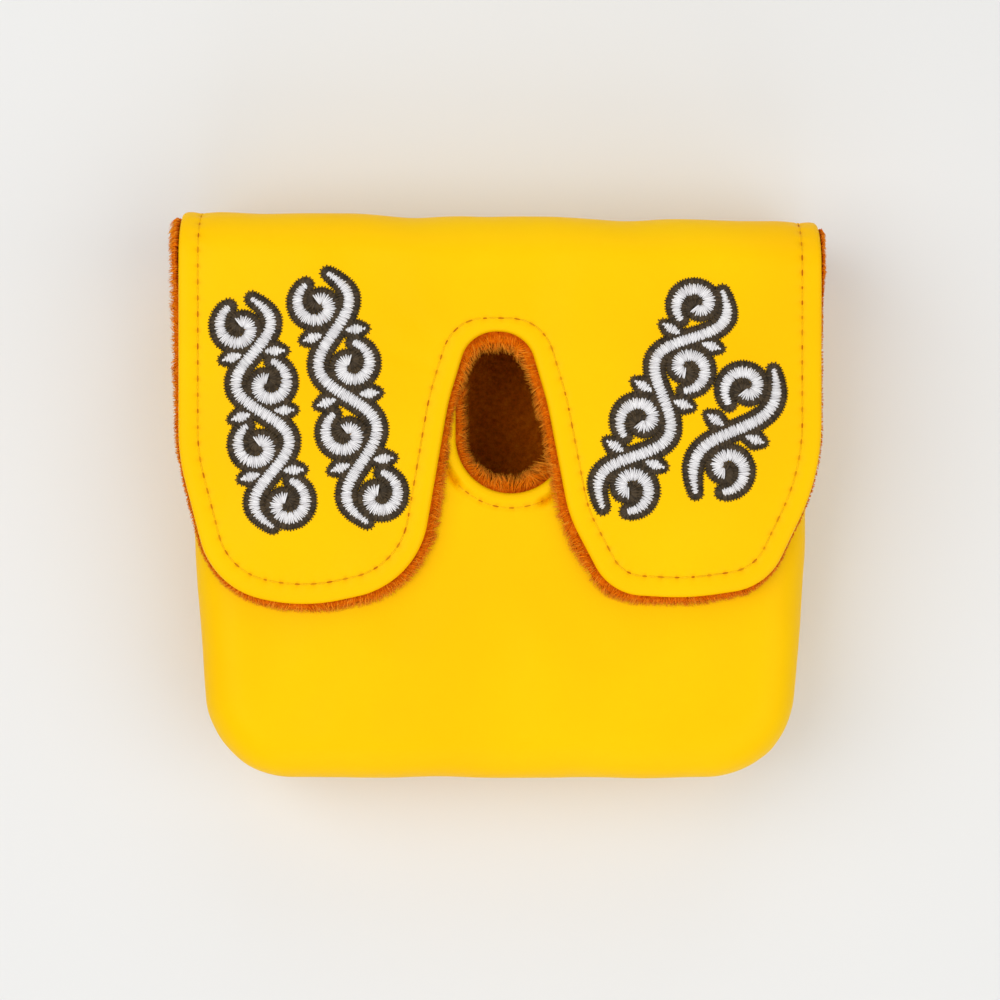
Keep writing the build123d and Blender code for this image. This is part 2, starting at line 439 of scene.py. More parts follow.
def pattern_mesh(outline, rings, grid):
    """Points and triangles that fill a closed outline, with rows of points beside some curves. rings is a
    list of (curve, distances of its rows)."""
    rows = [ring_points(path, offset, outline) for path, offsets in rings for offset in offsets]
    points = np.vstack([outline, *rows, field_points(outline, rings, grid)])
    edges = [(i, (i + 1) % len(outline)) for i in range(len(outline))]
    made = geometry.delaunay_2d_cdt([Vector(p) for p in points.tolist()], edges, [], 1, 1e-5)
    flat = np.array([tuple(v) for v in made[0]])
    triangles = np.array(made[2], int)
    triangles = triangles[inside(flat[triangles].mean(1), outline)]
    area = double_area(flat, triangles)
    triangles[area < 0] = triangles[area < 0][:, ::-1]
    triangles = triangles[np.abs(area) > 1e-7]
    used = np.unique(triangles)
    number = np.full(len(flat), -1)
    number[used] = np.arange(len(used))
    return flat[used], number[triangles]


def border_edges(triangles):
    """The edges that only one triangle has, in that triangle's direction."""
    pairs = np.vstack([triangles[:, (0, 1)], triangles[:, (1, 2)], triangles[:, (2, 0)]])
    known = {tuple(p) for p in pairs.tolist()}
    return [p for p in known if (p[1], p[0]) not in known]


def closed_sheet(name, mesh, place, top, bottom, material, mirrored=False):
    """A closed sheet: its outer face is at depth -top and its inner face at depth bottom."""
    pattern, triangles = mesh
    outer = place(pattern, -top)[0]
    inner = place(pattern, bottom)[0]
    count = len(pattern)
    upper = triangles[:, ::-1] if mirrored else triangles
    faces = upper.tolist() + (upper[:, ::-1] + count).tolist()
    for a, b in border_edges(upper):
        faces.append([b, a, a + count, b + count])
    made = make_object(name, np.vstack([outer, inner]), faces, material)
    made.data.set_sharp_from_angle(angle=SHARP)

    # The outer face fills the left half of the bake map, and the inner face the right half.
    span = np.ptp(pattern, axis=0).max() * 1.02
    left_half = (pattern - pattern.min(0)) / span * FACE_SIZE + FACE_CORNER
    set_bake_map(made, np.vstack([left_half, left_half + INNER_SHIFT]))
    return made


def tubes(name, flat, place, depth, half_width, half_height, material, sides, tones=None):
    """Many thin closed tubes over a panel, as one mesh. flat is their points in the panel's pattern, as
    (tubes, points, 2), depth is below its outer face, and the half sizes are (tubes, points)."""
    count, rows, _ = flat.shape
    points, normal = place(flat.reshape(-1, 2), depth.ravel())
    paths = points.reshape(count, rows, 3)
    across, up = frames_along(paths, normal.reshape(paths.shape))
    angles = np.arange(sides) * 2 * math.pi / sides + math.pi / sides
    wide = (half_width[:, :, None] * np.cos(angles))[..., None]
    high = (half_height[:, :, None] * np.sin(angles))[..., None]
    points = (paths[:, :, None] + across[:, :, None] * wide + up[:, :, None] * high).reshape(-1, 3)
    base = (np.arange(count) * rows * sides)[:, None, None]
    row = base + (np.arange(rows - 1) * sides)[None, :, None]
    side = np.arange(sides)
    beside = (side + 1) % sides
    quads = np.stack([row + side, row + beside, row + sides + beside, row + sides + side], axis=-1)
    first = (base[:, :, 0] + side[::-1]).tolist()
    last = (base[:, :, 0] + (rows - 1) * sides + side).tolist()
    made = make_object(name, points, quads.reshape(-1, 4).tolist() + first + last, material)
    tones = rng.random(count) if tones is None else tones
    tone = np.repeat(tones, rows * sides)
    along = np.tile(np.repeat(np.linspace(0, 1, rows), sides), count)
    set_point_value(made, "tone", tone)
    set_point_value(made, "along", along)
    set_bake_map(made, np.stack([tone * 0.98 + 0.01, along * 0.98 + 0.01], axis=1))
    return made


def frames_along(paths, normal):
    """Sideways and upward unit vectors for tubes whose up is close to a given normal."""
    along = np.gradient(paths, axis=1)
    along /= np.maximum(np.linalg.norm(along, axis=2, keepdims=True), 1e-9)
    across = np.cross(along, np.broadcast_to(normal, paths.shape))
    across /= np.maximum(np.linalg.norm(across, axis=2, keepdims=True), 1e-9)
    return across, np.cross(across, along)


# ---- Materials ----


def linear(red, green, blue):
    """A screen colour from 0 to 255 as linear light."""
    values = [c / 255 for c in (red, green, blue)]
    return [v / 12.92 if v <= 0.04045 else ((v + 0.055) / 1.055) ** 2.4 for v in values] + [1.0]


class Paint:
    """A material under construction, with short ways to add and link nodes."""

    def __init__(self, name):
        self.material = bpy.data.materials.new(name)
        self.material.use_nodes = True
        self.tree = self.material.node_tree
        self.shader = self.tree.nodes["Principled BSDF"]

    def node(self, kind, **values):
        made = self.tree.nodes.new(kind)
        for key, value in values.items():
            if hasattr(made, key):
                setattr(made, key, value)
            else:
                made.inputs[key.replace("_", " ")].default_value = value
        return made

    def link(self, source, target):
        self.tree.links.new(source, target)

    def set(self, **values):
        for key, value in values.items():
            self.shader.inputs[key.replace("_", " ")].default_value = value

    def position(self):
        return self.node("ShaderNodeTexCoord").outputs["Object"]

    def noise(self, scale, detail=3.0, roughness=0.5):
        made = self.node("ShaderNodeTexNoise", Scale=scale, Detail=detail, Roughness=roughness)
        self.link(self.position(), made.inputs["Vector"])
        return made.outputs["Fac"]

    def cells(self, scale):
        made = self.node("ShaderNodeTexVoronoi", Scale=scale)
        self.link(self.position(), made.inputs["Vector"])
        return made.outputs["Distance"]

    def value(self, name):
        return self.node("ShaderNodeAttribute", attribute_name=name).outputs["Fac"]

    def ramp(self, source, *stops):
        made = self.node("ShaderNodeValToRGB")
        elements = made.color_ramp.elements
        while len(elements) < len(stops):
            elements.new(0.5)
        for element, (place, colour) in zip(elements, stops):
            element.position = place
            element.color = colour
        self.link(source, made.inputs["Fac"])
        return made.outputs["Color"]

    def mix(self, share, one, other):
        made = self.node("ShaderNodeMix", data_type="RGBA")
        for socket, given in zip((made.inputs[0], made.inputs[6], made.inputs[7]), (share, one, other)):
            if isinstance(given, (int, float, list, tuple)):
                socket.default_value = given
            else:
                self.link(given, socket)
        return made.outputs[2]

    def maths(self, operation, one, other=0.0):
        made = self.node("ShaderNodeMath", operation=operation)
        for socket, given in zip(made.inputs, (one, other)):
            if isinstance(given, (int, float)):
                socket.default_value = given
            else:
                self.link(given, socket)
        return made.outputs[0]

    def bump(self, height, strength, distance, after=None):
        made = self.node("ShaderNodeBump", Strength=strength, Distance=distance)
        self.link(height, made.inputs["Height"])
        if after is not None:
            self.link(after, made.inputs["Normal"])
        return made.outputs["Normal"]


def leather_material():
    """Smooth yellow leather: fine pebble grain, soft changes of tone, and painted shade in orange along the
    stitch grooves and at the needle holes.
    """
    paint = Paint("yellow_leather")
    broad = paint.ramp(paint.noise(22, 2), (0.3, linear(255, 195, 0)), (0.7, linear(255, 204, 0)))
    worn = paint.mix(paint.maths("MULTIPLY", paint.noise(420, 2), 0.25), broad, linear(255, 190, 0))
    # Painted shade: the point value read here mixes in dark orange where the stitch grooves and needle holes
    # are shaded.
    groove_shaded = paint.mix(paint.value("groove_shade"), worn, linear(214, 120, 4))
    paint.link(groove_shaded, paint.shader.inputs["Base Color"])
    rough = paint.maths("ADD", paint.maths("MULTIPLY", paint.noise(160, 3), 0.16), 0.36)
    paint.link(rough, paint.shader.inputs["Roughness"])
    grain = paint.bump(paint.cells(1500), 0.10, 0.00012)
    fine = paint.bump(paint.noise(3200, 2), 0.08, 0.0001, grain)
    paint.link(fine, paint.shader.inputs["Normal"])
    paint.set(Specular_IOR_Level=0.05)
    return paint.material


def plush_material():
    """The backing of the plush: brown-orange pile with clumps and shaded roots."""
    paint = Paint("plush_lining")
    tones = (0.3, linear(186, 82, 0)), (0.55, linear(234, 114, 2)), (0.75, linear(250, 146, 28))
    clumps = paint.ramp(paint.noise(900, 4, 0.65), *tones)
    drift = paint.mix(paint.maths("MULTIPLY", paint.noise(60, 2), 0.45), clumps, linear(208, 94, 0))
    paint.link(drift, paint.shader.inputs["Base Color"])
    paint.set(Roughness=0.95, Sheen_Weight=0.2, Sheen_Roughness=0.5, Sheen_Tint=linear(240, 150, 70))
    paint.set(Specular_IOR_Level=0.05)
    pile = paint.bump(paint.noise(1400, 4, 0.7), 0.8, 0.0006)
    paint.link(pile, paint.shader.inputs["Normal"])
    return paint.material


def fur_material():
    """Single plush fibres: darker at the root, which is painted shade under the leather's edge and in the
    pile, paler at the tip, which is painted light, and each a little different.
    """
    paint = Paint("plush_fibre")
    # Painted shade at the root and painted light at the tip, along each fibre.
    shaded_root_to_lit_tip = (0.0, linear(214, 99, 0)), (0.5, linear(250, 134, 0)), (1.0, linear(255, 182, 58))
    dark_to_pale = (0.0, linear(212, 97, 0)), (0.5, linear(250, 136, 0)), (1.0, linear(255, 182, 58))
    length = paint.ramp(paint.value("along"), *shaded_root_to_lit_tip)
    tone = paint.ramp(paint.value("tone"), *dark_to_pale)
    colour = paint.mix(0.45, length, tone)
    paint.link(colour, paint.shader.inputs["Base Color"])
    paint.set(Roughness=0.75, Specular_IOR_Level=0.06, Sheen_Weight=0.05, Sheen_Tint=linear(255, 180, 90))
    return paint.material


def thread_material(name, dark, pale, roughness, gloss, twist):
    """Twisted thread, in a range of tones from thread to thread."""
    paint = Paint(name)
    colour = paint.ramp(paint.value("tone"), (0.0, dark), (1.0, pale))
    lit = paint.mix(paint.maths("MULTIPLY", paint.noise(1800, 2), 0.3), colour, dark)
    paint.link(lit, paint.shader.inputs["Base Color"])
    paint.set(Roughness=roughness, Specular_IOR_Level=gloss)
    paint.link(paint.bump(paint.noise(twist, 2), 0.35, 0.00015), paint.shader.inputs["Normal"])
    return paint.material


def plain_material(name, colour, roughness, grain, metallic=0.0):
    """A hidden inner piece's finish: its colour with a light grain."""
    paint = Paint(name)
    darker = [c * 0.8 for c in colour[:3]] + [1.0]
    mottled = paint.ramp(paint.noise(grain, 3), (0.3, darker), (0.7, colour))
    paint.link(mottled, paint.shader.inputs["Base Color"])
    paint.link(paint.bump(paint.noise(grain * 3, 3), 0.3, 0.0002), paint.shader.inputs["Normal"])
    paint.set(Roughness=roughness, Metallic=metallic)
    return paint.material


LEATHER = leather_material()
PLUSH = plush_material()
FIBRE = fur_material()
# The stitch thread's darker tones also colour the painted shadows at the needle holes.
TOP_THREAD = thread_material("stitch_thread", linear(188, 98, 0), linear(255, 200, 0), 0.6, 0.1, 2500)
WHITE_THREAD = thread_material(
    "embroidery_white", linear(214, 211, 212), linear(248, 246, 246), 0.38, 0.4, 2200
)
DARK_THREAD = thread_material("embroidery_dark", linear(44, 34, 20), linear(84, 68, 46), 0.5, 0.25, 2200)
MAGNET = plain_material("magnet_steel", linear(190, 190, 194), 0.28, 300, metallic=1.0)
FELT = plain_material("pocket_fabric", linear(222, 220, 212), 0.9, 600)
SEAM = plain_material("seam_thread", linear(226, 150, 8), 0.6, 900)

# Finishes for the CAD's own pieces. Those that a piece below replaces aren't seen.
for node_name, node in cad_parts.items():
    finish = FELT
    if node_name.endswith(("magnet_left", "magnet_right")):
        finish = MAGNET
    if "seam_thread" in node_name:
        finish = SEAM
    node.data.materials.clear()
    node.data.materials.append(finish)

# ---- Shapes that sewing gives to a padded panel ----

# Distances of the rows of mesh points beside a hem and beside a seam
HEM_ROWS = [0.22, 0.5, 0.85, 1.25, 1.75, 2.4, 3.1, 3.7, 4.1, 4.4, 4.75, 5.3, 6.2, 7.6]
SEAM_ROWS = [0.3, 0.7, 1.2, 1.9, 2.8, 4.0, 5.4, 7.0, 8.6]


HEM_ROLL = 0.20
STITCH_GROOVE = 0.26
# Painted shade, as a share of dark orange: along the stitch groove, at each needle hole, and all over the
# leather's inner face.
GROOVE_SHADE = 0.05
HOLE_SHADE = 0.40
INNER_SHADE = 0.1
HOLE_PULL = 0.13
SEAM_DEPTH = 0.75

# Radii of a turned edge, on the leather's outer face and on its inner face
HEM_TURN = 1.0
INNER_TURN = 0.9


def turned_edge(distance, radius):
    """How far a face drops towards a turned edge."""
    short = np.clip(radius - distance, 0, radius)
    return np.sqrt(np.maximum(radius**2 - short**2, 0)) - radius


def hem(edge, stitch, along, puff=1.0):
    """A turned, topstitched border: a soft roll, the stitch groove, and a dip at each needle hole."""
    roll = HEM_ROLL * puff * bell(edge, 1.3, 2.0)
    groove = STITCH_GROOVE * puff * bell(stitch, 0.65)
    pull = HOLE_PULL * np.cos(2 * math.pi * along / STITCH_PITCH) * bell(stitch, 1.3)
    return turned_edge(edge, HEM_TURN) + roll - groove - pull


def groove_shade_of(stitch, along):
    """How much orange painted shade a stitch groove gets: most at the needle holes."""
    pinch = 0.5 + 0.5 * np.cos(2 * math.pi * along / STITCH_PITCH)
    return bell(stitch, 0.55) * (GROOVE_SHADE + HOLE_SHADE * pinch**6)


def seam_pinch(distance, along):
    """The valley at a sewn seam, with small gathers across it."""
    gather = 1 + 0.35 * np.sin(2 * math.pi * along / 5.3) + 0.25 * np.sin(2 * math.pi * along / 13.7 + 1)
    return -SEAM_DEPTH * gather * bell(distance, 1.3)


# ---- Slack in the padding, from a cloth simulation ----

SLACK_FRAMES = 30
FOAM_HOLD = 0.5

# The cloth is simulated ten times its size, where the solver's stiffnesses behave.
CLOTH_UNIT = 10 * MM


def add_cloth(leather):
    """Makes a mesh padded leather, cut 5 percent too large. Its group named held says where it is held."""
    cloth = leather.modifiers.new("cloth", "CLOTH")
    cloth.collision_settings.use_collision = False
    cloth.point_cache.frame_end = SLACK_FRAMES
    settings = cloth.settings
    settings.quality = 10
    settings.mass = 0.3
    settings.tension_stiffness = settings.compression_stiffness = 15
    settings.shear_stiffness = 8
    settings.bending_stiffness = 500
    settings.tension_damping = settings.compression_damping = 8
    settings.bending_damping = 5
    settings.air_damping = 5
    settings.shrink_min = -0.05
    settings.vertex_group_mass = "held"
    settings.use_pressure = True
    settings.uniform_pressure_force = 0.3
    settings.effector_weights.gravity = 0


def settle(points, held, shape):
    """Lets a grid of leather settle on its foam, and returns how far each of its points moves.

    The leather is cut a little large, pinned where it is held and sprung on foam elsewhere, so it buckles.
    """
    corner = np.arange(len(points)).reshape(shape)
    quads = np.stack([corner[:-1, :-1], corner[:-1, 1:], corner[1:, 1:], corner[1:, :-1]], axis=-1)
    quads = quads.reshape(-1, 4)
    quads = quads[~held[quads].all(axis=1)]
    used = np.unique(quads)
    number = np.zeros(len(points), int)
    number[used] = np.arange(len(used))
    start = points[used] * CLOTH_UNIT
    mesh = bpy.data.meshes.new("slack")
    mesh.from_pydata(start.tolist(), [], number[quads].tolist())
    leather = add_object("slack", mesh)
    group = leather.vertex_groups.new(name="held")
    group.add(np.flatnonzero(held[used]).tolist(), 1.0, "REPLACE")
    group.add(np.flatnonzero(~held[used]).tolist(), FOAM_HOLD, "REPLACE")
    add_cloth(leather)
    for step in range(1, SLACK_FRAMES + 1):
        bpy.context.scene.frame_set(step)
    settled = leather.evaluated_get(bpy.context.evaluated_depsgraph_get())
    end = np.empty((len(used), 3), np.float32)
    settled.to_mesh().vertices.foreach_get("co", end.ravel())
    settled.to_mesh_clear()
    moved = np.zeros((len(points), 3))
    moved[used] = (end - start) / CLOTH_UNIT
    bpy.data.objects.remove(leather)
    bpy.data.meshes.remove(mesh)
    bpy.context.scene.frame_set(1)
    return moved


class Slack:
    """The soft dents and swells of a panel that is sewn down round its outline."""

    def __init__(self, outline, place, amount, grid=3.0, margin=5.0):
        self.grid = grid
        self.low = outline.min(0) - 2 * grid
        high = outline.max(0) + 2 * grid
        xs = np.arange(self.low[0], high[0], grid)
        ys = np.arange(self.low[1], high[1], grid)
        pattern = np.stack(np.meshgrid(xs, ys), axis=2).reshape(-1, 2)
        held = ~inside(pattern, outline) | (Near(pattern, outline, closed=True).distance < margin)
        points, normal = place(pattern)
        moved = settle(points, held, (len(ys), len(xs)))
        height = (moved * normal).sum(1)
        self.height = (height * amount / height[~held].std()).reshape(len(ys), len(xs))

    def __call__(self, pattern):
        """The height at each place, through a cubic spline of the grid."""
        place = (pattern - self.low) / self.grid
        cell = np.floor(place).astype(int)
        across, up = spline_weights(place - cell).transpose(2, 0, 1)
        rows, columns = self.height.shape
        total = 0.0
        for i in range(4):
            column = np.clip(cell[:, 0] + i - 1, 0, columns - 1)
            for j in range(4):
                row = np.clip(cell[:, 1] + j - 1, 0, rows - 1)
                total = total + across[i] * up[j] * self.height[row, column]
        return total


def spline_weights(t):
    """A cubic B-spline's weights for the four grid points round each place."""
    return np.stack([(1 - t) ** 3, 3 * t**3 - 6 * t**2 + 4, -3 * t**3 + 3 * t**2 + 3 * t + 1, t**3]) / 6


# ---- Skins ----


def cut_at(outline, top, spacing=1.5):
    """The closed outline of what lies below a line."""
    run = open_run(outline, top)
    count = round(abs(run[0, 0] - run[-1, 0]) / spacing)
    across = np.linspace(run[-1, 0], run[0, 0], count + 1)[1:-1]
    return np.vstack([run, np.stack([across, np.full(count - 1, top)], axis=1)])


def skin_object(name, mesh, place, height, groove_shade=0.0, rim=0.0, mirrored=False):
    """A padded leather panel: the sewn outer face, and a plain inner face one skin below. rim lifts the
    inner face at a turned edge."""
    made = closed_sheet(name, mesh, place, height, SKIN + rim, LEATHER, mirrored)
    count = len(mesh[0])
    # Painted shade in the stitch grooves on the outer face, and a little all over the inner face.
    set_point_value(made, "groove_shade", np.append(np.broadcast_to(groove_shade, count), np.full(count, INNER_SHADE)))
    return made


def hemmed_skin(name, mesh, place, distances, height):
    """A padded panel with a turned, topstitched edge. distances gives each place's distance to the edge
    and to the stitch line."""
    pattern = mesh[0]
    edge, stitch = distances(pattern)
    # Painted shade along the stitch line, most at the needle holes.
    groove_shade = groove_shade_of(stitch.distance, stitch.along)
    return skin_object(name, mesh, place, height(pattern), groove_shade, turned_edge(edge.distance, INNER_TURN))


# ---- Flap, round the top bend to the middle of the top wall ----

WRAP_CROWN = 0.45

# Folds that fan out from a point inside the arch: how far from it, how high, and how many in a full turn
WRINKLE_CENTRE = np.array((-2.0, 24.0))
WRINKLE_RADIUS = 22
WRINKLE_HEIGHT = 0.22
WRINKLE_COUNT = 17

flap_edge = open_run(flap_outline, S_MIDDLE)
flap_stitch_line = open_run(resample(parallel(flap_outline, FLAP_STITCH, True), 0.6, True), S_MIDDLE)

# The stitch line stays a little lower over the arch.
arch_distance = np.hypot(flap_stitch_line[:, 0] + 0.5, 0.8 * (flap_stitch_line[:, 1] - 41))
flap_stitch_line[:, 1] -= 1.4 * bell(arch_distance, 6.5)

wrap_end = np.array([[FLAP_HALF, S_BACK_JOIN], [-FLAP_HALF, S_BACK_JOIN]])
wrap_slack = Slack(np.vstack([flap_edge, wrap_end]), wrap, amount=0.24)


def heel_fade(pattern):
    """1 on the flap and the top wall, falling to 0 where the cover lies on its back."""
    return 1 - smooth(S_HEEL_START + 3, S_HEEL_END - 2, pattern[:, 1])


def wrap_height(pattern, edge, stitch):
    """The wrap's outer face above the plain bend, from its distances to the edge and the stitch line."""
    fade = heel_fade(pattern)
    at_bend = smooth(BEND_Y - 12, BEND_Y, pattern[:, 1])
    crown = WRAP_CROWN * smooth(4.5, 17, edge.distance) * (1 - 0.8 * at_bend)
    sway = wrap_slack(pattern) + 0.07 * ripple(pattern, 16, 4)
    soft = crown + sway * smooth(1, 9, edge.distance)
    return hem(edge.distance, stitch.distance, stitch.along, fade) + soft * fade


def arch_wrinkles(pattern):
    """Soft folds that fan out to the left from the top of the shaft arch."""
    offset = pattern - WRINKLE_CENTRE
    radius = np.hypot(offset[:, 0], offset[:, 1])
    angle = np.arctan2(offset[:, 1], offset[:, 0])
    left_side = smooth(1.9, 2.5, angle) * (1 - smooth(2.9, 3.1, angle))
    return WRINKLE_HEIGHT * bell(radius, 6.5, WRINKLE_RADIUS) * left_side * np.cos(angle * WRINKLE_COUNT)


def flap_distances(pattern):
    """Each place's distance to the flap's edge and to its stitch line."""
    return Near(pattern, flap_edge), Near(pattern, flap_stitch_line)


def flap_height(pattern):
    """The flap's outer face above the plain wrap."""
    return wrap_height(pattern, *flap_distances(pattern)) + arch_wrinkles(pattern)


def flap_skin():
    """The flap's leather, over the top bend and down half of the top wall."""
    mesh = pattern_mesh(cut_at(flap_outline, S_MIDDLE), [(flap_edge, HEM_ROWS)], grid=1.7)
    made = hemmed_skin("flap_padded_leather", mesh, wrap, flap_distances, flap_height)
    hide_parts("flap_leather", "flap_foam", "spine_leather", "spine_foam")
    return made


# ---- Heel bend and the lower half of the top wall ----

heel_sides = [
    resample(np.array([[-FLAP_HALF, S_BACK_JOIN], [-FLAP_HALF, S_MIDDLE]]), 0.8),
    resample(np.array([[FLAP_HALF, S_MIDDLE], [FLAP_HALF, S_BACK_JOIN]]), 0.8),
]


class Sides:
    """Distances to a pair of straight lines at either side of a strip."""

    def __init__(self, pattern, half_width):
        self.distance = np.abs(half_width - np.abs(pattern[:, 0]))
        self.along = pattern[:, 1] - S_MIDDLE


def strip_outline(half_width):
    """The heel strip's outline, anticlockwise from its top left."""
    left, right = -half_width, half_width
    low, high = S_MIDDLE, S_BACK_JOIN
    return resample(np.array([[left, high], [left, low], [right, low], [right, high]]), 1.0, closed=True)


def heel_distances(pattern):
    """Each place's distance to the strip's sides and to their stitch lines."""
    return Sides(pattern, FLAP_HALF), Sides(pattern, FLAP_HALF - FLAP_STITCH)


def heel_height(pattern):
    """The heel strip's outer face above the plain wrap."""
    return wrap_height(pattern, *heel_distances(pattern))


def heel_skin():
    """The leather from the middle of the top wall round the heel bend to the back panel."""
    mesh = pattern_mesh(strip_outline(FLAP_HALF), [(side, HEM_ROWS) for side in heel_sides], grid=1.7)
    return hemmed_skin("heel_padded_leather", mesh, wrap, heel_distances, heel_height)


# ---- Front panel with the collar ----


def grown_pouch(growth, step):
    """The pouch's outline with a panel's rounded edge unrolled outside it."""
    return resample(parallel(pouch_outline, -growth, True), step, True)


front_place, front_growth = shell(FRONT_ROUND, FRONT_SEAM_Z, FRONT_TOP)
front_rim = open_run(grown_pouch(front_growth, 0.8), MOUTH_Y)


def front_mouth(radius):
    """The free edge of the front panel, from right to left: the mouth, with the collar's notch in it."""
    right = np.array([[front_rim[-1, 0], MOUTH_Y], [COLLAR[0] + radius, MOUTH_Y]])
    left = np.array([[COLLAR[0] - radius, MOUTH_Y], [front_rim[0, 0], MOUTH_Y]])
    return np.vstack([resample(right, 0.8)[:-1], collar_path(radius, MOUTH_Y), resample(left, 0.8)[1:]])


front_edge = front_mouth(COLLAR_RADIUS)
collar_stitch_line = collar_path(COLLAR_RADIUS + COLLAR_STITCH, MOUTH_Y - 6)
front_outline = np.vstack([front_rim, front_edge[1:-1]])
front_slack = Slack(front_outline, front_place, amount=0.26)
FRONT_CROWN = 0.5
FRONT_DENTS = 0.25

# How far the flap presses the panel down where it covers it
FLAP_PRESS = 0.25

# The collar's hem is narrow and thick, so it rolls more than the flap's.
COLLAR_PUFF = 1.9

# Grooves in the collar's stitch line, where it runs under the flap's edges: place, direction, half length
COLLAR_PUCKERS = [((-11.2, 4.6), -0.95, 3.4), ((11.0, -0.6), 0.55, 2.8)]
PUCKER_DEPTH = 1.9
PUCKER_WIDTH = 0.8


def collar_puckers(pattern):
    """The drop of the front panel at the collar's puckers."""
    drop = 0.0
    for place, turn, reach in COLLAR_PUCKERS:
        offset = pattern - place
        along = offset @ (math.cos(turn), math.sin(turn))
        beside = offset @ (-math.sin(turn), math.cos(turn))
        drop = drop - PUCKER_DEPTH * bell(along, reach) * bell(beside, PUCKER_WIDTH)
    return drop


def front_distances(pattern):
    """Each place's distance to the front panel's free edge and to the collar's stitch line."""
    return Near(pattern, front_edge), Near(pattern, collar_stitch_line)


def front_height(pattern):
    """The front panel's outer face above the plain shell. free is 1 where the flap doesn't cover it."""
    edge, stitch = front_distances(pattern)
    rim = Near(pattern, front_rim)
    free = 1 - smooth(-34, -16, pattern[:, 1])
    crown = FRONT_CROWN * smooth(3, 22, rim.distance) * free - FLAP_PRESS * (1 - free)
    sway = front_slack(pattern) * (0.4 + 0.6 * free) + 0.08 * ripple(pattern, 19, 8)
    dents = FRONT_DENTS * ripple(pattern, 24, 9) * bell(rim.distance, 7, 8)
    collar = hem(edge.distance, stitch.distance, stitch.along, COLLAR_PUFF) + collar_puckers(pattern)
    soft = crown + (sway + dents) * smooth(1, 8, edge.distance)
    return collar + seam_pinch(rim.distance, rim.along) + soft


def front_skin():
    """The front panel's leather, from the seam at the gusset to the mouth and the collar."""
    mesh = pattern_mesh(front_outline, [(front_rim, SEAM_ROWS), (front_edge, HEM_ROWS)], grid=1.8)
    made = hemmed_skin("front_padded_leather", mesh, front_place, front_distances, front_height)
    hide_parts("front_panel_leather", "front_panel_foam")
    return made


# ---- Gusset round the sides and the toe ----

gusset_run = open_run(pouch_outline, GUSSET_END_Y)
gusset_length = lengths_along(gusset_run)[-1]
gusset_depth = FRONT_SEAM_Z - BACK_SEAM_Z
GUSSET_CROWN = 0.5
GUSSET_END_TURN = 1.4


def gusset_place(pattern, depth=0.0):
    """Places on the upright wall: x runs along the pouch's outline, y up from the back seam."""
    lengths = lengths_along(gusset_run)
    outward = -left_of(tangents(gusset_run))
    plan = at_lengths(pattern[:, 0], lengths, gusset_run)
    normal = np.column_stack([at_lengths(pattern[:, 0], lengths, outward), np.zeros(len(plan))])
    depth = np.broadcast_to(depth, len(plan))
    outer = np.column_stack([plan, BACK_SEAM_Z + pattern[:, 1]])
    return outer - normal * depth[:, None], normal


def gusset_outline(spacing):
    """The flat gusset's outline from its lower left corner, anticlockwise."""
    corners = [[0, 0], [gusset_length, 0], [gusset_length, gusset_depth], [0, gusset_depth]]
    return resample(np.array(corners), spacing, closed=True)


def gusset_ends(pattern):
    """Each place's distance to the nearer end of the gusset."""
    return np.minimum(pattern[:, 0], gusset_length - pattern[:, 0])


gusset_slack = Slack(gusset_outline(1.2), gusset_place, amount=0.3, grid=2.0, margin=2.5)


def gusset_skin():
    """The side and toe wall's leather, pinched at both of its seams."""
    low = np.array([[0, 0], [gusset_length, 0]])
    high = low[::-1] + (0, gusset_depth)
    rings = [(resample(line, 0.9), SEAM_ROWS[:6]) for line in (low, high)]
    mesh = pattern_mesh(gusset_outline(0.9), rings, grid=1.9)
    along, up = mesh[0].T
    ends = gusset_ends(mesh[0])
    seams = seam_pinch(up, along * 0.97 + 3) + seam_pinch(gusset_depth - up, along)
    crown = GUSSET_CROWN * np.sin(math.pi * up / gusset_depth)
    height = seams + crown + gusset_slack(mesh[0]) + turned_edge(ends, GUSSET_END_TURN)
    rim = turned_edge(ends, INNER_TURN)
    made = skin_object("gusset_padded_leather", mesh, gusset_place, height, rim=rim)
    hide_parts("gusset_leather", "gusset_foam")
    return made


# ---- Back panel ----

back_place, back_growth = shell(BACK_ROUND, BACK_SEAM_Z, 0.0)
back_rim = open_run(grown_pouch(back_growth, 0.9), BACK_JOIN_Y)
BACK_SAG = 0.16
BACK_SWAY = 0.12


def back_skin():
    """The back panel's leather, nearly flat, up to its join with the wrap."""
    mesh = pattern_mesh(cut_at(grown_pouch(back_growth, 0.9), BACK_JOIN_Y), [(back_rim, SEAM_ROWS)], grid=2.0)
    pattern = mesh[0]
    rim = Near(pattern, back_rim)
    still = smooth(0, 8, BACK_JOIN_Y - pattern[:, 1])
    lying = BACK_SWAY * ripple(pattern, 40, 15) - BACK_SAG
    height = seam_pinch(rim.distance, rim.along) + lying * still * smooth(2, 9, rim.distance)
    made = skin_object("back_padded_leather", mesh, back_place, height, mirrored=True)
    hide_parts("back_panel_leather", "back_panel_foam")
    return made


# ---- Plush lining ----

# The lining's outer face starts this far below the leather's inner face.
LINING_GAP = 0.03

# Distances of the rows of mesh points beside a plush edge
PILE_ROWS = [0.3, 0.7, 1.2]

HEEL_REACH = 2.0
PILE_LUMPS = 0.22
PILE_NAP = 0.16
PILE_CLIMB = 2.2

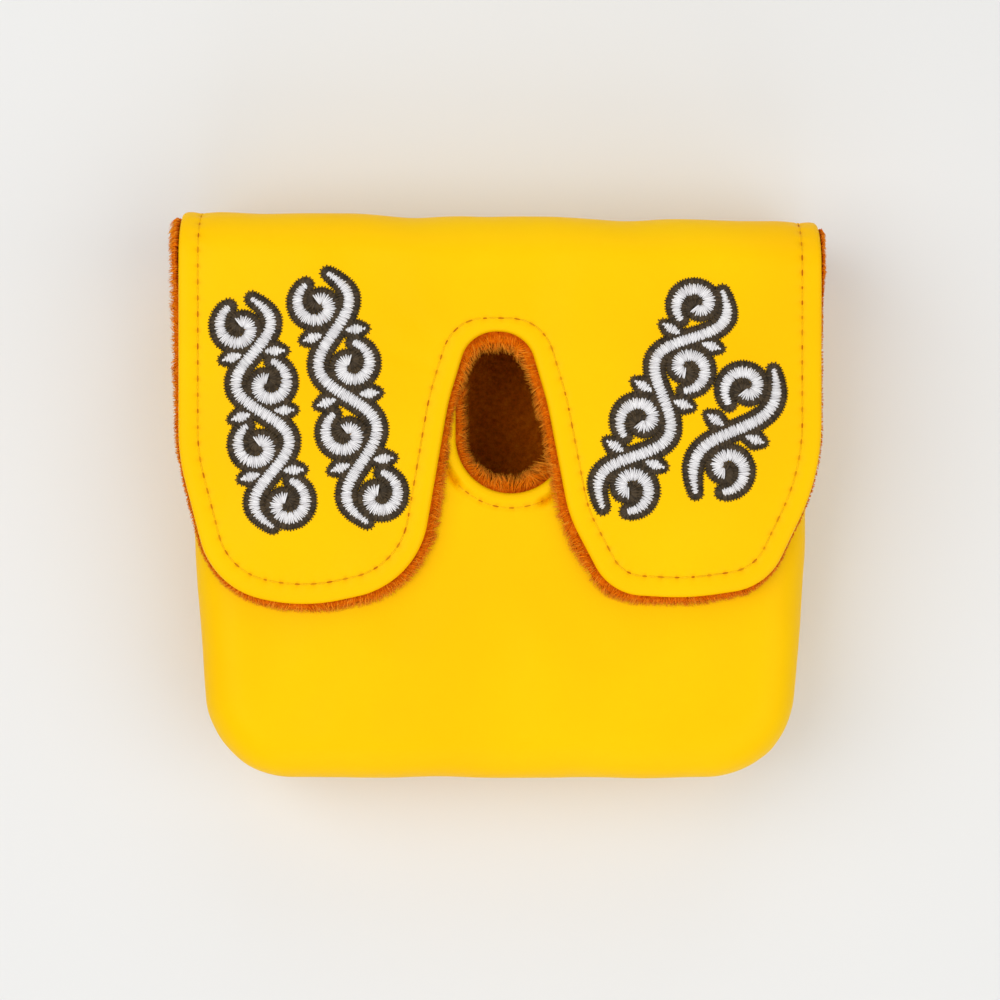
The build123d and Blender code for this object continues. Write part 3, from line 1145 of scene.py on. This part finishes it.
# How far the plush stands out past the leather at places along the flap's edge
PLUSH_REACH = [
    ((-71.6, 80), 2.2),
    ((-71.6, 66), 2.5),
    ((-71.6, 40), 2.3),
    ((-71.4, 20), 1.6),
    ((-70.5, 5), 1.1),
    ((-64, -16), 1.3),
    ((-44, -24), 2.2),
    ((-24, -18), 2.6),
    ((-15, 0), 2.5),
    ((-12, 18), 1.9),
    ((-8.8, 30), 2.7),
    ((-0.5, 36.6), 4.7),
    ((7.8, 30), 3.4),
    ((11.5, 15), 2.5),
    ((14, 0), 2.9),
    ((20, -14), 3.0),
    ((30, -22), 2.3),
    ((48, -22), 2.0),
    ((61, -16), 1.0),
    ((67, -5), 0.6),
    ((70.5, 12), 0.4),
    ((71.4, 36), 0.6),
    ((71.6, 50), 1.1),
    ((71.6, 80), 2.0),
]
reach_stations = Near(np.array([place for place, _ in PLUSH_REACH], float), flap_edge).along
reach_values = [reach for _, reach in PLUSH_REACH]


def flap_reach(pattern):
    """How far the plush stands out past the flap's leather, beside each place."""
    return np.interp(Near(pattern, flap_edge).along, reach_stations, reach_values)


def heel_reach(pattern):
    """How far the plush stands out past the heel strip's leather."""
    return np.full(len(pattern), HEEL_REACH)


def collar_reach(pattern):
    """The collar's pile is shortest on its left and longest on its right."""
    return np.interp(pattern[:, 0], (-10, 2, 12), (2.8, 4.2, 4.6))


def climb_of(pattern, beyond):
    """How far the pile climbs beside the leather's edge, where the fold pushes it out."""
    s = pattern[:, 1]
    near_fold = smooth(BEND_Y - 9, BEND_Y, s) * (1 - smooth(S_TOP_END - 7, S_TOP_END + 5, s))
    return PILE_CLIMB * near_fold * (np.abs(pattern[:, 0]) > beyond)


def lining_sheet(name, mesh, place, edge, climb=0.0, mirrored=False):
    """A plush sheet under the padding, uneven on its pile side."""
    pattern, triangles = mesh
    lumps = PILE_LUMPS * ripple(pattern, 5, 21) + PILE_NAP * ripple(pattern, 2.6, 22)
    soft = turned_edge(edge, 1.0)
    top = climb - SKIN - LINING_GAP + soft
    made = closed_sheet(name, mesh, place, top, SKIN + PILE + lumps + soft, PLUSH, mirrored)
    return made


def flap_lining():
    """The plush under the flap and the top wall, which stands out past the leather."""
    reach = 0.6 * flap_reach(flap_outline)
    grown = flap_outline - left_of(tangents(flap_outline, True)) * reach[:, None]
    edge = open_run(grown, S_MIDDLE)
    mesh = pattern_mesh(cut_at(grown, S_MIDDLE), [(edge, PILE_ROWS)], grid=1.5)
    distance = Near(mesh[0], edge).distance
    climb = climb_of(mesh[0], FLAP_HALF + 0.3)
    made = lining_sheet("flap_plush_lining", mesh, wrap, distance, climb)
    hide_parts("flap_lining", "spine_lining")
    return made


def heel_lining():
    """The plush inside the heel bend."""
    half = FLAP_HALF + 0.7
    mesh = pattern_mesh(strip_outline(half), [], grid=1.5)
    return lining_sheet("heel_plush_lining", mesh, wrap, half - np.abs(mesh[0][:, 0]))


def front_lining():
    """The plush under the front panel, which stands out into the collar."""
    edge = front_mouth(COLLAR_RADIUS - 1.5)
    mesh = pattern_mesh(np.vstack([front_rim, edge[1:-1]]), [(edge, PILE_ROWS)], grid=1.8)
    made = lining_sheet("front_plush_lining", mesh, front_place, Near(mesh[0], edge).distance)
    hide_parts("front_panel_lining")
    return made


def gusset_lining():
    """The plush inside the side and toe wall."""
    mesh = pattern_mesh(gusset_outline(1.2), [], grid=1.9)
    made = lining_sheet("gusset_plush_lining", mesh, gusset_place, gusset_ends(mesh[0]))
    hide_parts("gusset_lining")
    return made


def back_lining():
    """The plush on the back panel. None of its edges are free."""
    mesh = pattern_mesh(cut_at(grown_pouch(back_growth, 1.2), BACK_JOIN_Y), [], grid=1.9)
    far_edge = np.full(len(mesh[0]), 9.0)
    made = lining_sheet("back_plush_lining", mesh, back_place, far_edge, mirrored=True)
    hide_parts("back_panel_lining")
    return made


# ---- Plush fibres along the edges ----

FIBRE_ROWS = 4
FIBRE_RADIUS = 0.125
FIBRE_TAPER = np.array([1.0, 1.0, 0.75, 0.15])
EDGE_DENSITY = 24
COLLAR_DENSITY = 30

# Length of edge that one clump of fibres takes up
TUFT = 0.9


def fibres(name, path, place, reach, per_mm):
    """Tapered fibres that lean out of a panel's edge in clumps. Outward is to the right of the path."""
    lengths = lengths_along(path)
    count = int(lengths[-1] * per_mm)
    at = rng.uniform(0, lengths[-1], count)
    root = at_lengths(at, lengths, path)
    heading = at_lengths(at, lengths, tangents(path))
    level = rng.random(count)
    tuft_places = np.arange(0, lengths[-1] + TUFT, TUFT)
    tufts = np.interp(at, tuft_places, rng.normal(0, 1, len(tuft_places)))
    sweep = np.sin(at * 0.31 + 1.7 * np.sin(at * 0.11))
    lean = 0.45 * sweep + 0.20 * tufts + rng.normal(0, 0.20, count)
    size = reach(root) * (rng.uniform(0.60, 1.12, count) + 0.06 * tufts)
    climb = climb_of(root, 0.9 * FLAP_HALF)
    start = np.where(climb > 0.3, rng.uniform(0.0, 0.5, count), rng.uniform(-0.7, 0.35, count))
    t = np.linspace(0, 1, FIBRE_ROWS)
    out = start[:, None] + np.maximum(size - start, 0.6)[:, None] * t
    aside = (lean * size)[:, None] * t**1.5
    flat = root[:, None] - left_of(heading)[:, None] * out[..., None] + heading[:, None] * aside[..., None]

    # level is 0 for the fibres next to the leather and 1 for those deepest in the pile.
    near_leather = 1 - 0.6 * level
    layer = SKIN + 0.10 + 0.95 * PILE * level - climb * near_leather
    puff = 0.55 * (1 - level)[:, None] * np.sin(math.pi * np.minimum(t / 0.75, 1))
    droop = 0.9 * near_leather[:, None] * t**2
    depth = layer[:, None] - puff + droop
    half = FIBRE_RADIUS * FIBRE_TAPER * rng.uniform(0.75, 1.2, count)[:, None]
    return tubes(name, flat, place, depth, half, half, FIBRE, sides=3)


# ---- Topstitching ----

# A stitch's width at places along it, as a share of its full width
STITCH_ENDS = np.array([0.35, 0.85, 1, 1, 1, 0.85, 0.35])


def stitches(name, line, place, height):
    """One thread tube for each stitch, and at each needle hole a short dark one, which is a painted shadow
    where the thread goes in.
    """
    lengths = lengths_along(line)
    holes = np.arange(0.0, lengths[-1], STITCH_PITCH)
    count = len(holes) - 1
    t = np.linspace(0, 1, len(STITCH_ENDS))
    thread_at = holes[:-1, None] + STITCH_PITCH * (0.09 + 0.82 * t)
    hole_shadow_at = holes[1:, None] + rng.uniform(0.7, 2.0, count)[:, None] * (t - 0.5)
    flat = at_lengths(np.vstack([thread_at, hole_shadow_at]), lengths, line)
    thread_lift = np.tile(0.15 * np.sin(math.pi * t) ** 0.5 - 0.17, (count, 1))
    hole_shadow_lift = np.tile(0.06 * np.sin(math.pi * t), (count, 1))
    depth = -(height(flat.reshape(-1, 2)) + np.vstack([thread_lift, hole_shadow_lift]).ravel())
    width = np.repeat([THREAD_RADIUS, HOLE_SHADOW_RADIUS], count)[:, None] * STITCH_ENDS
    # Pale tones for the threads, and dark ones for the painted shadows at the holes.
    tones = np.concatenate([rng.uniform(0.85, 1, count), rng.uniform(0, 0.5, count)])
    return tubes(name, flat, place, depth, width, width * 0.8, TOP_THREAD, 6, tones)


# ---- Embroidery: scrolling vines in satin stitch with a dark edge ----

SATIN_PITCH = 0.36
EDGE_PITCH = 0.30
EDGE_WIDTH = 1.3
SATIN_RADIUS = 0.205
EDGE_RADIUS = 0.19
SATIN_LIFT = 0.30
EDGE_LIFT = 0.20

# How far the dark threads run in under the satin
EDGE_TUCK = 1.7

# Each vine's start and end on the flap
VINES = {
    "left": [((-40.0, 51.0), (-27.6, -7.0)), ((-56.8, 45.0), (-48.6, -8.0))],
    "right": [((23.6, -4.6), (48.6, 49.0)), ((44.0, -1.6), (60.2, 30.6))],
}

# About the length of one wave of a vine's stem to one side, and how far it swings
BAY = 15.0
STEM_SWING = 5.0


def stroke(points, widths):
    """A satin stroke: evenly spaced centres and the half width at each."""
    centres = resample(points, SATIN_PITCH)
    share = np.linspace(0, 1, len(centres))
    return centres, np.interp(share, np.linspace(0, 1, len(widths)), widths)


def vine(start, end):
    """The strokes of one vine: a waving stem with a curl in each bay and two buds at each crossing."""
    start, end = np.array(start), np.array(end)
    length = np.linalg.norm(end - start)
    heading = (end - start) / length
    beside = np.array([-heading[1], heading[0]])
    bays = round(length / BAY)
    bay = length / bays

    def to_flap(u, v):
        return start + np.outer(u, heading) + np.outer(v, beside)

    u = np.linspace(0.10 * bay, length - 0.10 * bay, 40 * bays)
    stem = to_flap(u, STEM_SWING * np.sin(math.pi * u / bay))
    strokes = [stroke(stem, [0.6, 1.3] + [1.35] * (2 * bays) + [1.3, 0.5])]
    for number in range(bays):
        side = 1 if number % 2 == 0 else -1
        turn = np.linspace(math.radians(200), math.radians(545), 50)
        radius = np.linspace(5.2, 1.2, 50)
        curl_u = (number + 0.5) * bay + 0.6 + radius * np.cos(turn)
        curl_v = side * (-2.1 + radius * np.sin(turn))
        strokes.append(stroke(to_flap(curl_u, curl_v), [0.8, 1.25, 1.4, 1.45, 1.5, 1.3]))
        if number == bays - 1:
            continue
        for outward in (1, -1):
            bud_u = (number + 1) * bay + np.linspace(0.0, 0.5, 12)
            bud_v = outward * np.linspace(2.9, 6.9, 12)
            strokes.append(stroke(to_flap(bud_u, bud_v), [0.4, 0.8, 1.2, 1.25, 0.7, 0.15]))
    return strokes


def satin(name, strokes):
    """White threads laid across each stroke, arched, with uneven ends."""
    t = np.linspace(-1, 1, 7)
    bars, halves = [], []
    for centres, widths in strokes:
        along = tangents(centres)
        jagged = 0.26 * (np.arange(len(centres)) % 2) - 0.10
        half = np.maximum(widths + jagged + rng.normal(0, 0.06, len(centres)), 0.2)
        slant = 0.096 * rng.standard_normal(len(centres))
        across = left_of(along)[:, None] * (half[:, None] * t)[..., None]
        skew = along[:, None] * (slant[:, None] * t)[..., None]
        bars.append(centres[:, None] + across + skew)
        halves.append(half)
    bars = np.vstack(bars)
    arch = 0.18 + 0.24 * np.minimum(np.concatenate(halves), 1.3)
    sunk_ends = 0.20 * np.abs(t) ** 6
    uneven = rng.normal(0, 0.02, len(bars))[:, None]
    lift = SATIN_LIFT + arch[:, None] * (1 - t**2) - sunk_ends + uneven
    width = np.tile(SATIN_RADIUS * np.array([0.35, 0.9, 1, 1, 1, 0.9, 0.35]), (len(bars), 1))
    return thread_bars(name, bars, lift, width, WHITE_THREAD)


def satin_edge(name, strokes):
    """Dark threads that stand out past the satin all the way round each stroke."""
    bars = []
    t = np.linspace(0, 1, 4)
    for centres, widths in strokes:
        rim = resample(stroke_rim(centres, widths, 0.5 * EDGE_WIDTH), EDGE_PITCH, closed=True)
        outward = -left_of(tangents(rim, True))
        jagged = 0.30 * (np.arange(len(rim)) % 2 - 0.6)
        outer = 0.5 * EDGE_WIDTH + jagged + rng.normal(0, 0.04, len(rim))
        places = (outer + EDGE_TUCK)[:, None] * t - EDGE_TUCK
        bars.append(rim[:, None] + outward[:, None] * places[..., None])
    bars = np.vstack(bars)
    uneven = rng.normal(0, 0.03, len(bars))[:, None]
    lift = EDGE_LIFT + 0.10 * np.sin(math.pi * t) - 0.16 * t**4 + uneven
    width = np.tile(EDGE_RADIUS * np.array([0.8, 1, 1, 0.75]), (len(bars), 1))
    return thread_bars(name, bars, lift, width, DARK_THREAD)


def stroke_rim(centres, widths, grow):
    """The closed curve round a stroke at a distance outside its edge, anticlockwise, with round ends."""
    along = tangents(centres)
    beside = left_of(along)
    reach = (widths + grow)[:, None]
    angles = np.linspace(0, math.pi, 14)[1:-1]

    def round_end(index, side, forward):
        spread = np.outer(np.cos(angles), side) + np.outer(np.sin(angles), forward)
        return centres[index] + spread * reach[index]

    last_end = round_end(-1, -beside[-1], along[-1])
    first_end = round_end(0, beside[0], -along[0])
    left_side = (centres + beside * reach)[::-1]
    return np.vstack([centres - beside * reach, last_end, left_side, first_end])


def thread_bars(name, bars, lift, width, material):
    """Threads on the flap from their plan and their height above the leather."""
    depth = -(flap_height(bars.reshape(-1, 2)) + lift.ravel())
    return tubes(name, bars, wrap, depth, width, width * 0.62, material, sides=5)


# ---- The pieces, those of the pouch and the embroidery each on its body ----


def over_top(piece):
    """Bakes the placement of a piece that lies over the top fold into its mesh."""
    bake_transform(piece)


def over_heel(piece):
    """Bakes the placement of a piece that lies round the heel fold into its mesh."""
    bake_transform(piece)


def make_panels():
    """The leather skins and the plush sheets."""
    for piece in (front_skin(), gusset_skin(), back_skin(), front_lining(), gusset_lining(), back_lining()):
        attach(piece, "pouch")
    for piece in (flap_skin(), flap_lining()):
        over_top(piece)
    for piece in (heel_skin(), heel_lining()):
        over_heel(piece)


def make_plush_edges():
    """The fibres along the edges. The flap's are two pieces that meet over the arch."""
    arch_top = np.abs(flap_edge - (-0.5, 36.6)).sum(1).argmin()
    over_top(fibres("flap_plush_fibres_left", flap_edge[: arch_top + 1], wrap, flap_reach, EDGE_DENSITY))
    over_top(fibres("flap_plush_fibres_right", flap_edge[arch_top:], wrap, flap_reach, EDGE_DENSITY))
    for side, line in zip(("left", "right"), heel_sides):
        over_heel(fibres(f"heel_plush_fibres_{side}", line, wrap, heel_reach, EDGE_DENSITY))
    collar_line = collar_path(COLLAR_RADIUS, MOUTH_Y)
    collar = fibres("collar_plush_fibres", collar_line, front_place, collar_reach, COLLAR_DENSITY)
    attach(collar, "pouch")


def make_topstitching():
    """The stitches of the flap, the heel strip and the collar."""
    flap_thread = stitches("flap_topstitching", flap_stitch_line, wrap, flap_height)
    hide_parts("flap_stitching", "spine_stitching")
    over_top(flap_thread)
    for side, line in zip(("left", "right"), heel_sides):
        moved = line * (1 - FLAP_STITCH / FLAP_HALF, 1)
        over_heel(stitches(f"heel_topstitching_{side}", moved, wrap, heel_height))
    collar_thread = stitches("collar_topstitching", collar_stitch_line, front_place, front_height)
    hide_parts("collar_stitching")
    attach(collar_thread, "pouch")


def make_embroidery():
    """The vines on the flap's two lobes."""
    for side, lines in VINES.items():
        strokes = [one for start, end in lines for one in vine(start, end)]
        white = satin(f"vine_satin_{side}", strokes)
        dark = satin_edge(f"vine_edge_{side}", strokes)
        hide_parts(f"embroidery_fill_{side}")
        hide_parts(f"embroidery_outline_{side}")
        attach(white, "flap")
        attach(dark, "flap")


make_panels()
make_plush_edges()
make_topstitching()
make_embroidery()

# ---- Camera, lights and floor ----

camera = add_object("camera", bpy.data.cameras.new("camera"))
camera.data.sensor_width = 36
camera.data.lens = 89.1
camera.data.clip_start = 0.01
camera.location = (0, -0.0009, 0.5913)
bpy.context.scene.camera = camera


def area_light(name, place, target, size, power):
    """A square soft light that faces a point."""
    light = bpy.data.lights.new(name, "AREA")
    light.size = size
    light.energy = power
    made = add_object(name, light)
    made.location = place
    made.rotation_euler = (Vector(target) - Vector(place)).to_track_quat("-Z", "Y").to_euler()


area_light("key", (-0.45, 0.10, 0.72), (0, 0, 0.02), 0.7, 3.15)
area_light("fill", (0.50, -0.20, 0.70), (0, 0, 0.02), 0.8, 2.5)
area_light("front", (0.0, -0.70, 0.45), (0, 0, 0.02), 0.6, 1.45)
area_light("back", (0.1, 0.75, 0.40), (0, 0, 0.02), 0.6, 1.1)

world = bpy.data.worlds.new("studio")
bpy.context.scene.world = world
world.use_nodes = True
world.node_tree.nodes["Background"].inputs["Color"].default_value = (1, 1, 1, 1)
world.node_tree.nodes["Background"].inputs["Strength"].default_value = 0.42
bpy.context.scene.view_settings.view_transform = "Standard"

floor_mesh = bpy.data.meshes.new("floor")
floor_mesh.from_pydata([(-3, -3, 0), (3, -3, 0), (3, 3, 0), (-3, 3, 0)], [], [(0, 1, 2, 3)])
floor = add_object("floor", floor_mesh)
floor.location.z = -0.0004
floor_paint = Paint("studio_floor")
floor_paint.set(Base_Color=(0.80, 0.80, 0.79, 1), Roughness=0.9)
floor_mesh.materials.append(floor_paint.material)
